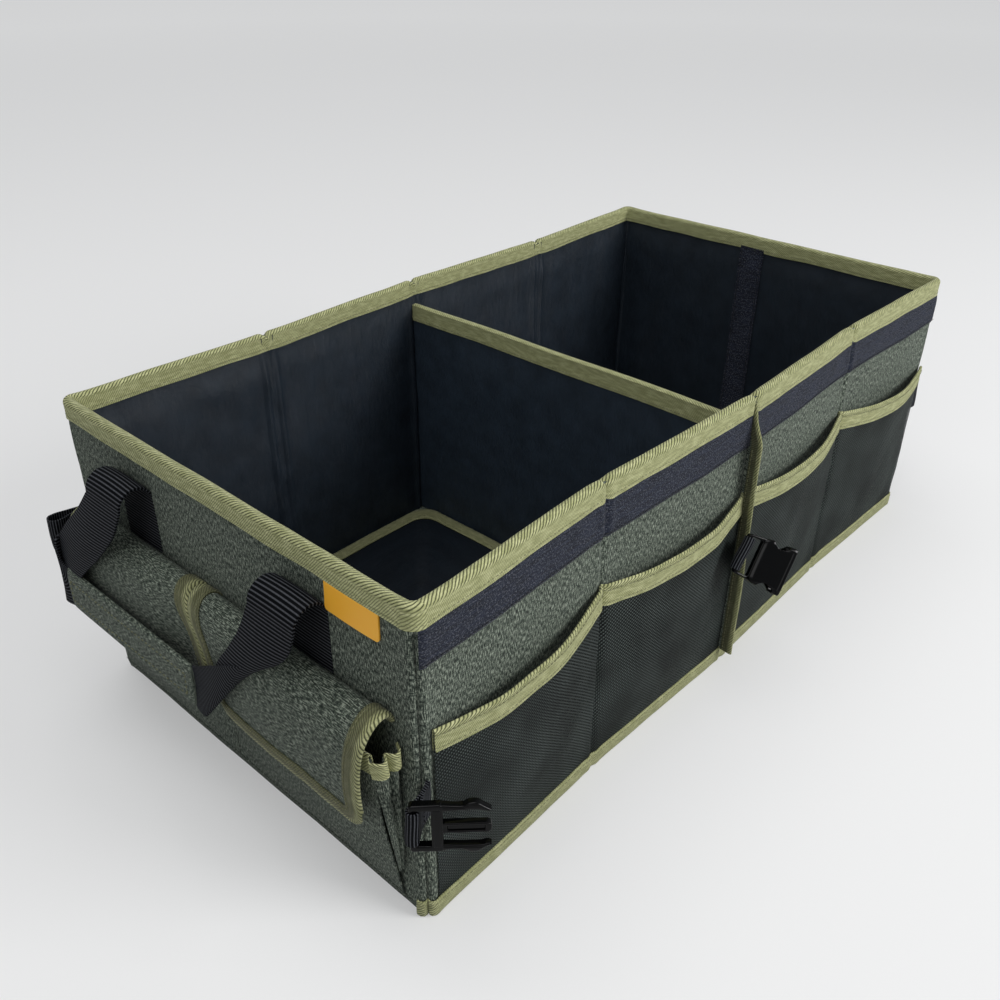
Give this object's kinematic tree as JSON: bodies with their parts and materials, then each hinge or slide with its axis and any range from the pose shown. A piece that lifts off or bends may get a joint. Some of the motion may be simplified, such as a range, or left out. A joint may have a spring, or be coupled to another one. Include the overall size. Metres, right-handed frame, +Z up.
{
  "type": "car trunk organizer",
  "caption": "Folding cloth trunk organizer with board walls, a sewn-in divider, loose bases, front mesh pockets, flapped end pockets, webbing carry handles and a buckle strap.",
  "frame": {"origin": "the middle of the box's bottom, on the floor it stands on", "axes": "+X along the box from the near end with the flapped pockets to the far end, +Y from the front with the mesh pockets to the back, +Z up"},
  "size_m": [0.729, 0.3975, 0.2351],
  "materials": {
    "outer_fabric": "matt olive grey woven polyester",
    "lining": "smooth blue-black coated cloth",
    "board": "plain stiff board, sewn inside and out of sight",
    "tape": "ribbed olive binding tape",
    "mesh": "dark see-through knitted mesh",
    "pile": "soft hook-and-loop pile",
    "webbing": "black woven webbing",
    "buckle": "moulded black plastic with a soft gloss",
    "tag": "bare orange rubbery tag"
  },
  "bodies": {
    "body": {"back_board_1": "board", "back_board_2": "board", "back_board_3": "board", "back_board_4": "board", "back_fabric": "outer_fabric", "back_lining": "lining", "bottom_fabric": "outer_fabric", "divider_binding": "tape", "divider_board": "board", "divider_cover": "lining", "end_pocket": "outer_fabric", "end_pocket_binding": "tape", "far_base_binding": "tape", "far_base_board": "lining", "far_board": "board", "far_end_pile": "pile", "far_fabric": "outer_fabric", "far_handle_root_back": "webbing", "far_handle_root_front": "webbing", "far_lining": "lining", "female_buckle_ribbon": "webbing", "flap_back": "outer_fabric", "flap_back_binding": "tape", "flap_front": "outer_fabric", "flap_front_binding": "tape", "front_board_1": "board", "front_board_2": "board", "front_board_3": "board", "front_board_4": "board", "front_bottom_tape": "tape", "front_fabric": "outer_fabric", "front_fin": "outer_fabric", "front_fin_binding": "tape", "front_lining": "lining", "front_pile_far": "pile", "front_pile_near": "pile", "lash_loop_far": "webbing", "lash_loop_near": "webbing", "male_buckle_ribbon": "webbing", "mesh_binding_far": "tape", "mesh_binding_near": "tape", "mesh_pocket_far": "mesh", "mesh_pocket_near": "mesh", "near_base_binding": "tape", "near_base_board": "lining", "near_board": "board", "near_fabric": "outer_fabric", "near_handle_root_back": "webbing", "near_handle_root_front": "webbing", "near_lining": "lining", "pocket_gusset_back": "outer_fabric", "pocket_gusset_front": "outer_fabric", "rim_binding": "tape", "side_tag": "tag"},
    "near_handle": {"near_handle_webbing": "webbing", "near_handle_grip": "outer_fabric"},
    "far_handle": {"far_handle_webbing": "webbing", "far_handle_grip": "outer_fabric"},
    "male_clip": {"male_buckle": "buckle"},
    "female_clip": {"female_buckle": "buckle"}
  },
  "joints": [
    {"name": "near_handle_swing", "type": "hinge", "parent": "body", "child": "near_handle", "pos_m": [-0.3498, -0.006, 0.197], "axis": [0, 1, 0], "range_deg": [0, 150]},
    {"name": "far_handle_swing", "type": "hinge", "parent": "body", "child": "far_handle", "pos_m": [0.3498, -0.006, 0.197], "axis": [0, -1, 0], "range_deg": [0, 150]},
    {"name": "male_buckle_swing", "type": "hinge", "parent": "body", "child": "male_clip", "pos_m": [-0.34064, -0.18163, 0.103], "axis": [0, 0, -1], "range_deg": [-15, 80]},
    {"name": "female_buckle_swing", "type": "hinge", "parent": "body", "child": "female_clip", "pos_m": [-0.02584, -0.1932, 0.12513], "axis": [-0.6, 0, -0.8], "range_deg": [-15, 80]}
  ]
}
